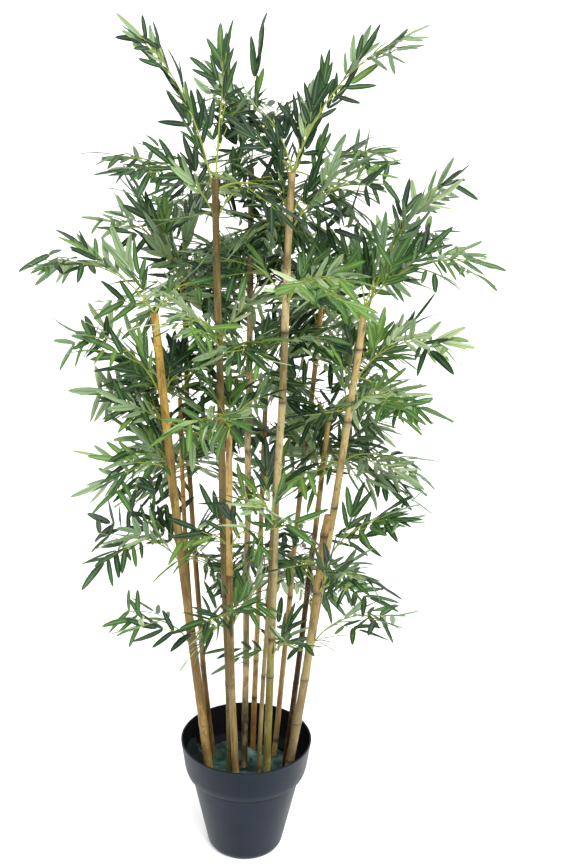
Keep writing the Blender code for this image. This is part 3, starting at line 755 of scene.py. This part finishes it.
def joint_heights(key, cane):
    """The known joints, with seeded ones at a hand's spacing wherever there is room."""
    rng = seeded("joints" + key)
    joints = list(cane.joints)
    height = JOINT_FIRST + rng.uniform(0.0, 0.10)
    while height < cane.top[2] - 0.03:
        if all(abs(height - other) > JOINT_GAP for other in joints):
            joints.append(height)
        height += rng.uniform(*JOINT_STEP)
    return np.sort(joints)


def ring_heights(top, joints):
    """Heights of a cane's rings: an even run, closer ones at the joints, and the cut edge's two."""
    heights = np.arange(SOCKET_FOOT, top - 0.004, RING_STEP)
    heights = np.concatenate((heights, (joints[:, None] + JOINT_RINGS).ravel()))
    heights = np.unique(np.round(heights[(heights < top - 0.003)], 5))
    return np.concatenate((heights, top - CUT_EDGE))


def make_cane(key, cane, pith):
    """A cane: rings up its axis, closest at the joints, swollen there over a sunk line.

    Radius = taper x (1 + swelling + ridge - groove + sheath lip) x (1 - flat on one side), and the
    axis steps a little aside at each joint. The cut end turns in over its wall and down its bore.
    """
    rng = seeded("cane" + key)
    top = cane.top[2]
    turn = np.linspace(0, math.tau, CANE_SIDES, endpoint=False)
    around = np.stack((np.cos(turn), np.sin(turn), 0 * turn), axis=-1)
    joints = joint_heights(key, cane)
    heights = ring_heights(top, joints)
    offset = heights[:, None] - joints
    swell = sum(gain * bell(offset, *place) for gain, *place in JOINT_FORMS).sum(axis=1)
    worn = rng.uniform(0.1, 1.0, len(joints))
    smudges = zip(JOINT_SMUDGES, (worn, worn[::-1]))
    line = sum(gain * each * bell(offset, *place) for (gain, *place), each in smudges).sum(axis=1)
    tint = rng.uniform(0, 1, len(joints) + 1)[np.searchsorted(joints, heights)]
    aside = np.cos(turn[:, None] - rng.uniform(0, math.tau, len(joints)))
    fade = np.exp(-np.clip(offset, 0, None) / FLAT_FADE) * (offset > 0) * (offset < FLAT_END)
    flat = (fade[:, None] * np.clip(aside - 0.4, 0, None) ** 2).sum(axis=2)
    jog = rng.normal(0, JOG, (len(joints) + 2, 2))
    jog[0] = 0
    knots = np.concatenate(([SOCKET_FOOT], joints, [top]))
    axis = cane_axis(cane, heights)
    for part in range(2):
        axis[:, part] += np.interp(heights, knots, jog[:, part])
    rounding = np.ones(len(heights))
    rounding[-1] = CUT_ROUND
    radius = (cane_radius(cane, heights) * (1 + swell) * rounding)[:, None] * (1 - FLAT * flat)
    spokes = radius[..., None] * around
    apart = PATTERN_GAP * ord(key)
    inset = around * (BORE[:, :1] * cane_radius(cane, top))[..., None]
    mouth = cane_axis(cane, top) + inset + BORE[:, 1:, None] * UP

    def ringed(values, end):
        """A value for each ring, and one for the bore's rings."""
        return (np.append(values, [end] * len(BORE))[:, None] + 0 * turn)[None]

    marks = {
        "skin": np.concatenate((spokes + UP * (heights[:, None, None] + apart), mouth + apart * UP))[None],
        "joint": ringed(line, 0),
        "tint": ringed(tint, 0),
        "share": ringed((heights - FILL_Z) / (top - FILL_Z), 1),
    }
    rings = np.concatenate((axis[:, None] + spokes, mouth))[None]
    finish_picks = np.zeros((rings.shape[1] + 1, 1), int)
    finish_picks[-len(BORE):] = 1
    finishes = [cane_finish("cane_skin_" + key, cane), pith]
    add_piece("culm_" + key, rings, finishes, "cane_" + cane.tone, ["cane_" + key], finish_picks=finish_picks, marks=marks)


def make_canes():
    pith = bare_wood("cane_pith", (0.36, 0.24, 0.12), 0.8, 1, 2200, (0.4, 0.65),
                     (0.16, 0.09, 0.04), (0.48, 0.34, 0.18))
    for key, cane in CANES.items():
        make_cane(key, cane, pith)


# ---- sprays

Stem = namedtuple("Stem", "key cane height start knee tip out side length bare")


def stem_line(key, cane, row):
    """A stem's line from its place on the cane to its tip: the quadratic curve through its knee."""
    height, compass, reach, rise = row
    turn = math.radians(compass)
    out = np.array((math.cos(turn), math.sin(turn), 0))
    side = np.array((-math.sin(turn), math.cos(turn), 0))
    level = cane.top[2] if height is END else height
    axis = cane_axis(cane, level)
    start = axis if height is END else axis + out * (cane_radius(cane, level) - STEM_START)
    tip = axis + out * reach + UP * rise
    knee = axis + out * reach * KNEE_OUT + UP * (KNEE_RISE * rise + KNEE_ARCH * reach)
    length = np.linalg.norm(knee - start) + np.linalg.norm(tip - knee)
    return Stem(key, cane, height, start, knee, tip, out, side, length, 1 - LEAF_LENGTH / length)


def arch(stem, share):
    """Points on the curve start (1-s)^2 + knee 2s(1-s) + tip s^2, and its directions."""
    share = np.asarray(share, float)[..., None]
    rest = 1 - share
    points = stem.start * rest**2 + stem.knee * 2 * share * rest + stem.tip * share**2
    return points, unit((stem.knee - stem.start) * rest + (stem.tip - stem.knee) * share)


def stem_path(stem):
    """The stem's own points: from inside the cane, out by its slot or cut end and along the arch."""
    points, ways = arch(stem, np.linspace(0, stem.bare, STEM_RUNS))
    down = UP if stem.height is END else ways[0]
    return np.vstack((points[0] - down * STEM_SUNK, points))


def inner_rows(key, row, rng):
    """Rows of the shorter sprays from the same root, turned to both sides of the main one."""
    height, compass, reach, rise = row
    steep = rise > STEEP * reach
    count = INNER if height is END or height > INNER_ABOVE else 1
    for number in range(INNER_OTHER.get(key, count)):
        hand = -1 if (number + round(compass)) % 2 else 1
        aside = compass + hand * rng.uniform(*INNER_TURN)
        if math.sin(math.radians(aside)) < INNER_FRONT:
            aside = -aside
        short = max(INNER_LEAST, (reach + rise if steep else reach) * rng.uniform(*INNER_REACH))
        yield height, aside, short, short * rng.uniform(*INNER_RISE)


def clear_of_canes(points, margin):
    """True for each row of points that keeps out of every cane."""
    clear = np.ones(points.shape[:-1], bool)
    for cane in CANES.values():
        level = np.minimum(points[..., 2], cane.top[2])
        away = np.linalg.norm((points - cane_axis(cane, level))[..., :2], axis=-1)
        clear &= (away > cane_radius(cane, level) + margin) | (points[..., 2] > cane.top[2] + margin)
    return clear.all(axis=-1)


def hides_cane(points):
    """True for each row of points of which one lies before a cane, seen from the eye."""
    hides = np.zeros(points.shape[:-1], bool)
    for cane in CANES.values():
        depth = cane_axis(cane, np.clip(points[..., 2], FILL_Z, cane.top[2]))[..., 1]
        beyond = (depth - EYE[1]) / (points[..., 1] - EYE[1])
        seen = EYE + (points - EYE) * beyond[..., None]
        level = np.minimum(seen[..., 2], cane.top[2])
        aside = np.abs(seen[..., 0] - cane_axis(cane, level)[..., 0])
        near = aside < cane_radius(cane, level) + LEAF_CLEAR
        hides |= (beyond > 1) & (seen[..., 2] < cane.top[2]) & near
    return hides.any(axis=-1)


def parted(stem, points, share, rng):
    """True for rows of points to keep: all that hide no cane, and a drawn share of the others."""
    share = 1 if stem.key in BEFORE else share
    return ~hides_cane(points) | (rng.random(len(points)) < share)


def grow_twigs(stem, spacing, rng):
    """Paths, flat directions and lengths of a stem's twigs, on alternate sides of it."""
    lowest, span, least = TWIGS_LOW
    fullness = np.clip((stem.start[2] - lowest) / span, least, 1)
    steep = np.clip((stem.tip - stem.start)[2] / stem.length, 0, 1) ** 2
    fullness *= (1 + UPRIGHT_DENSE * steep) * SLENDER.get(stem.key, 1)
    count = max(3, round(stem.length * (1 - TWIG_FIRST) / spacing * fullness))
    share = (TWIG_FIRST + (1 - TWIG_FIRST) * (np.arange(count) + TWIG_START) / count) * stem.bare
    root, tangent = arch(stem, share)
    normal = np.cross(stem.side, tangent)
    upright = np.abs(tangent[:, 2])
    hand = np.where(np.arange(count) % 2, -1.0, 1.0)[:, None]
    limit = mix(TWIG_ROLL, upright**3)
    roll = np.radians(rng.uniform(-limit, limit))[:, None]
    across = (stem.side * np.cos(roll) + normal * np.sin(roll)) * hand
    close = 1 - UPRIGHT_CLOSE * upright
    angle = (np.radians(mix(TWIG_ANGLE, share)) * close * rng.uniform(*TWIG_SWING, count))[:, None]
    way = unit(tangent * np.cos(angle) + across * np.sin(angle) - UP * TWIG_SAG)
    slim = 1 - TWIG_SLIM * upright
    length = (mix(TWIG_LENGTH, share) * slim * rng.uniform(*TWIG_VARY, count))[:, None, None]
    droop = rng.uniform(*TWIG_DROOP, count)[:, None, None]
    step = np.linspace(0, 1, TWIG_RUNS)[None, :, None]
    paths = root[:, None] + way[:, None] * length * step - UP * droop * length * step**2
    keep = clear_of_canes(paths[:, 1:], TWIG_CLEAR) & parted(stem, paths[:, 2:], PARTED_TWIGS, rng)
    return paths[keep], across[keep], length[keep, 0, 0]


def twig_leaves(paths, across, lengths, bare, rng):
    """Roots, directions, faces, sizes and twig numbers of the leaves on some twigs.

    Pairs stand a step apart back from each twig's end, which carries one more leaf.
    """
    count = len(paths)
    each = (count, LEAF_PAIRS, 2)
    back = LEAF_TIP_GAP + LEAF_GAP * np.arange(LEAF_PAIRS)[None] * rng.uniform(*LEAF_GAP_VARY, (count, 1))
    share = 1 - back / lengths[:, None]
    ahead = unit(paths[:, -1] - paths[:, -2])
    start_way = unit(paths[:, 1] - paths[:, 0])
    place = np.clip(share, 0, 1)[..., None] * (TWIG_RUNS - 1)
    low = np.minimum(place.astype(int), TWIG_RUNS - 2)
    rows = np.arange(count)[:, None]
    stand = paths[rows, low[..., 0]] * (1 - place + low) + paths[rows, low[..., 0] + 1] * (place - low)
    way = unit(start_way[:, None] * (1 - share[..., None]) + ahead[:, None] * share[..., None])
    face = unit(np.cross(ahead, across))
    level = 1 - np.abs(ahead[:, 2:])
    outward = unit((paths[:, 0] - LEAF_BACKS) * (1, 1, 0))
    guide = UP * level + outward * (1 - level)
    face = face * np.sign((face * guide).sum(-1, keepdims=True)) + UP * LEAF_LEVEL * level
    face = unit(face - ahead * (face * ahead).sum(-1, keepdims=True))
    facing = rng.choice(FACINGS, count, p=FACING_SHARES[bare])
    spin = (rng.normal(0, LEAF_SPIN_SPREAD, count) + facing)[:, None]
    flat = unit(np.cross(face, ahead))
    face, flat = face * np.cos(spin) - flat * np.sin(spin), flat * np.cos(spin) + face * np.sin(spin)

    hand = np.array((-1.0, 1.0))[None, None, :, None]
    opening = rng.uniform(*LEAF_OPENING, (count, 1)) * (1 - UPRIGHT_CLOSE * np.abs(ahead[:, 2:]))
    angle = (mix(LEAF_ANGLE, share) * opening)[:, :, None] + rng.normal(0, LEAF_ANGLE_SPREAD, each)
    angle = np.radians(angle)[..., None]
    hang = (rng.uniform(*LEAF_HANG, (count, 1)) * level)[:, :, None] + rng.normal(0, LEAF_HANG_SPREAD, each)
    side = way[:, :, None] * np.cos(angle) + flat[:, None, None] * np.sin(angle) * hand
    side = unit(side - UP * hang[..., None])
    tilt = rng.normal(0, LEAF_TILT_SPREAD, each)[..., None]
    edge = np.cross(side, face[:, None, None])
    normal = unit(np.broadcast_to(face[:, None, None], side.shape) + edge * tilt)
    size = rng.uniform(*LEAF_SIZE_VARY, each) * mix(LEAF_GROWTH, share)[:, :, None]
    keep = np.broadcast_to((share * lengths[:, None] > LEAF_BARE)[:, :, None], each)
    number = np.broadcast_to(np.arange(count)[:, None, None], each)
    root = np.broadcast_to(stand[:, :, None], side.shape)
    pair_rows = [part[keep] for part in (root, side, normal, size, number)]
    last = [paths[:, -1], ahead, face, rng.uniform(*LAST_SIZE_VARY, count), np.arange(count)]
    return [np.concatenate((pair, end)) for pair, end in zip(pair_rows, last)]


def leaf_outline(share):
    """A leaf's half width over its widest: a round start, full sides and a soft point."""
    waist = LEAF_ROUND / (LEAF_ROUND + LEAF_POINT)
    return (share / waist) ** LEAF_ROUND * ((1 - share) / (1 - waist)) ** LEAF_POINT


def leaf_rings(root, way, face, size, rng):
    """Rings of keeled leaves, and the place on the blade of each of their points.

    At a share t of its length a leaf's section is a thin lens with a raised flat rib: its points lie
    s half widths to one side, lifted by the fold |s|, turned about the leaf by a twist that grows
    with t, and let down by a curl that grows with t squared.
    """
    count = len(root)

    def by_leaf(values):
        return values[:, None, None, None]

    share = np.array(LEAF_STATIONS)[None, :, None, None]
    across, ply, swell = (part[None, None, :, None] for part in LEAF_SECTION[:3])
    length = by_leaf(LEAF_LENGTH * size)
    half = LEAF_WIDTH / 2 * by_leaf(size * rng.uniform(*LEAF_WIDTH_VARY, count)) * leaf_outline(share)
    fold = by_leaf(rng.uniform(*LEAF_FOLD_VARY, count)) * LEAF_FOLD
    twist = by_leaf(rng.normal(0, LEAF_TWIST, count)) * share
    curl = by_leaf(rng.normal(*LEAF_CURL, count))
    sag = by_leaf(rng.uniform(*LEAF_SAG, count))
    wave = by_leaf(rng.uniform(*LEAF_WAVE, count))
    way, face, root = (part[:, None, None] for part in (way, face, root))
    side = unit(np.cross(way, face))
    face = np.cross(side, way)
    turned_side = side * np.cos(twist) + face * np.sin(twist)
    turned_face = face * np.cos(twist) - side * np.sin(twist)
    wave = wave * across * np.sin(share * LEAF_WAVES)
    lift = half * (fold * np.abs(across) + swell * LEAF_SWELL + wave) + ply * PLY
    rings = (root + way * length * share + turned_side * half * across + turned_face * lift
             - face * curl * length * share**2 - UP * sag * length * share**2)
    tip = (root + way * length - face * curl * length - UP * sag * length)[:, 0, 0]
    none = 0 * length[..., 0]
    blade = np.stack(np.broadcast_arrays(across[..., 0], share[..., 0] + none, none), axis=-1)
    return rings, (root[:, 0, 0], tip), blade


def within_reach(stem, tips):
    """True for leaves that end about inside the solids' box and short of the stem's own tip."""
    low, high = (np.array(corner) for corner in cad_box)
    inside = ((tips > low - LEAF_PAST_BOX) & (tips < high + LEAF_PAST_BOX)).all(axis=-1)
    return inside & ((tips - stem.tip) @ stem.out < LEAF_PAST_TIP)


def deal_tones(key, count, twig, bare, rng):
    """A tone number for each leaf: mostly its twig's, and that often its spray's main tone."""
    shares = [tone.shares[bare] for tone in LEAF_TONES.values()]
    main = rng.choice(len(shares), p=shares)
    for number, tone in enumerate(LEAF_TONES.values()):
        main = number if key in tone.sprays.split() else main
    each = rng.choice(len(shares), count, p=shares)
    each = np.where(rng.random(count) < MAIN_SHARE, main, each)[twig]
    own = rng.choice(len(shares), len(twig), p=shares)
    return np.where(rng.random(len(twig)) < STRAY_SHARE, own, each)


def grow_stem(stem, spacing, rng):
    """A stem's points, its twigs' points and flat directions, and the rows of all its leaves.

    The stem's own end carries leaves as a twig does. Leaves are probed at points along them.
    """
    own = stem_path(stem)
    paths, across, lengths = grow_twigs(stem, spacing, rng)
    end = own[-TWIG_RUNS:][None]
    run = np.linalg.norm(end[0, -1] - end[0, 0])
    bare = int(not OPEN_BELOW < stem.start[2] < SMALL_ABOVE)
    root, way, face, size, twig = twig_leaves(np.vstack((paths, end)), np.vstack((across, stem.side)),
                                              np.append(lengths, run), bare, rng)
    size = size * (SMALL if stem.start[2] > SMALL_ABOVE else 1)
    tips = root + way * (size * LEAF_LENGTH)[:, None]
    probe = root[:, None] + (tips - root)[:, None] * np.array((0.25, 0.5, 0.8, 1.0))[:, None]
    keep = within_reach(stem, tips) & clear_of_canes(probe, LEAF_CLEAR) & parted(stem, probe, PARTED, rng)
    tones = deal_tones(stem.key, len(paths) + 1, twig, bare, rng)
    return own, paths, across, [part[keep] for part in (root, way, face, size, tones)]


def tapered(paths, radius):
    """A radius at each point of some paths, from the first of a pair to the second."""
    return np.broadcast_to(mix(radius, np.linspace(0, 1, paths.shape[1])), paths.shape[:2])


def make_slots(stems):
    """A slot in the cane over each stem that leaves its side: a thin lens on the skin, its near-black
    colour painted shade.
    """
    finish = bare_wood("cane_slot_shade", (0.035, 0.016, 0.008), 0.85, 0.05, 1800, (0.45, 0.7),
                       (0.018, 0.009, 0.005), (0.10, 0.05, 0.02))
    rows = [stem for stem in stems if stem.height is not END]
    rise = np.linspace(*SLOT_RISE, SLOT_RUNS)
    paths = np.array([cane_axis(stem.cane, np.minimum(stem.height + rise, stem.cane.top[2] - 0.002))
                      + stem.out * (cane_radius(stem.cane, stem.height) - SLOT_SUNK) for stem in rows])
    paths[..., 2] += np.linspace(0, 1e-4, SLOT_RUNS)  # no two points alike at a cane's cut end
    across = np.array([stem.side for stem in rows])[:, None]
    lens = np.sin(np.linspace(0.25, math.pi - 0.25, SLOT_RUNS))
    widths = np.broadcast_to(SLOT_WIDTH * lens, paths.shape[:2])
    rings = tubes(paths, across, widths, widths * 0 + SLOT_DEPTH, SLOT_SIDES)
    add_piece("stem_slots", rings, [finish], "cane_brown", [])


def make_sprays():
    """Every spray: its stem, its twigs and their leaves, joined each kind apart."""
    nodes, stems, grown = [], [], []
    for cane, rows in SPRAYS.items():
        for number, main in enumerate(rows, 1):
            key = f"{cane}{number}"
            nodes.append("spray_" + key)
            rng = seeded(nodes[-1])
            for row in (main, *inner_rows(key, main, rng)):
                stems.append(stem_line(key, CANES[cane], row))
                grown.append(grow_stem(stems[-1], TWIG_SPACING[row is not main], rng))
    stem_paths, twig_paths, twig_across, leaves = zip(*grown)
    plastic = stem_finish()
    paths = np.array(stem_paths)
    across = np.array([stem.side for stem in stems])[:, None]
    radius = tapered(paths, STEM_RADIUS)
    add_piece("stems", tubes(paths, across, radius, radius, STEM_SIDES), [plastic], "leaf_fabric", nodes)
    paths = np.concatenate(twig_paths)
    across = np.concatenate(twig_across)[:, None]
    radius = tapered(paths, TWIG_RADIUS)
    add_piece("twigs", tubes(paths, across, radius, radius, TWIG_SIDES), [plastic], "leaf_fabric", nodes)
    make_slots(stems)
    root, way, face, size, tones = (np.concatenate(part) for part in zip(*leaves))
    for number, (name, tone) in enumerate(LEAF_TONES.items()):
        own = tones == number
        rings, poles, blade = leaf_rings(root[own], way[own], face[own], size[own], seeded("leaves" + name))
        band = tuple(mix(pair, BAND_TINT) for pair in zip(tone.under, tone.vein))
        finishes = [leaf_finish(f"leaf_{name}_{part}", *looks) for part, *looks in (
            ("upper", tone.upper, 0.34, 0.9, 0.34),
            # the paler band beside the midrib: printed veins with a painted highlight
            ("vein", tone.vein, 0.30, 0.9, 0.34),
            ("rib", tone.rib, 0.45, 0.3, 0.28),
            ("under", tone.under, 0.50, 0.9, 0.28),
            ("band", band, 0.50, 0.9, 0.28),
        )]
        add_piece("leaves_" + name, rings, finishes, "leaf_fabric", nodes, poles,
                  LEAF_SECTION[3].astype(int), {"blade": blade}, crease=60)


# ---- floor, lights and camera


def make_stage():
    """A wide pale floor under soft even light with a gentle key from the front.

    The sky is paler to the back, to the right and above, and palest near the horizon.
    """
    mesh = bpy.data.meshes.new("floor")
    reach = 60.0
    mesh.from_pydata([(-reach, -reach, 0), (reach, -reach, 0), (reach, reach, 0), (-reach, reach, 0)],
                     [], [(0, 1, 2, 3)])
    finish = Finish("pale_floor", (0.99, 0.99, 0.99), 0.9, Emission_Strength=0.16)
    mesh.materials.append(finish.material)
    placed("floor", mesh)
    world = bpy.data.worlds.new("studio")
    world.use_nodes = True
    sky = Nodes(world.node_tree, "Background")
    right, back, height = sky.split(sky.node("ShaderNodeTexCoord", output="Generated"))
    glow = sky.step(right * 0.25 + back * 0.8 + height * 0.8, -0.6, 0.5)
    horizon = sky.step(height, 0.02, 0.40, 0.80, 0.0)
    sky.feed("Color", sky.layered((0.20, 0.20, 0.21), (
        (glow, (0.85, 0.85, 0.85)),
        (horizon, (0.90, 0.90, 0.90)),
    )))
    bpy.context.scene.world = world
    for name, toward, strength, spread in (
        ("key", (0.26, -0.62, 0.84), 2.8, 34),
        ("right", (0.95, -0.12, 0.32), 1.1, 35),
        ("left", (-0.95, -0.05, 0.35), 0.6, 35),
        ("back", (0.1, 0.8, 0.9), 0.5, 40),
    ):
        lamp = bpy.data.lights.new(name, "SUN")
        lamp.energy = strength
        lamp.angle = math.radians(spread)
        placed(name, lamp).rotation_euler = Vector(toward).to_track_quat("Z", "Y").to_euler()
    bpy.context.scene.view_settings.view_transform = "Standard"


def make_camera():
    """A camera at standing height in front, looking a little down."""
    place = Vector((0, -2.142, 1.600))
    pitch, yaw, roll = (math.radians(angle) for angle in (20.05, 1.97, 1.45))
    ahead = Vector((math.sin(yaw) * math.cos(pitch), math.cos(yaw) * math.cos(pitch), -math.sin(pitch)))
    right = Vector((math.cos(yaw), -math.sin(yaw), 0))
    up = right.cross(ahead)
    across = right * math.cos(roll) + up * math.sin(roll)
    upright = up * math.cos(roll) - right * math.sin(roll)
    data = bpy.data.cameras.new("camera")
    data.sensor_width = 36
    data.lens = 55.87
    data.clip_end = 200
    camera = placed("camera", data)
    turn = Matrix((across, upright, -ahead)).transposed().to_4x4()
    camera.matrix_world = Matrix.Translation(place) @ turn
    bpy.context.scene.camera = camera


make_camera()
make_stage()
make_pot()
make_filling()
make_canes()
make_sprays()
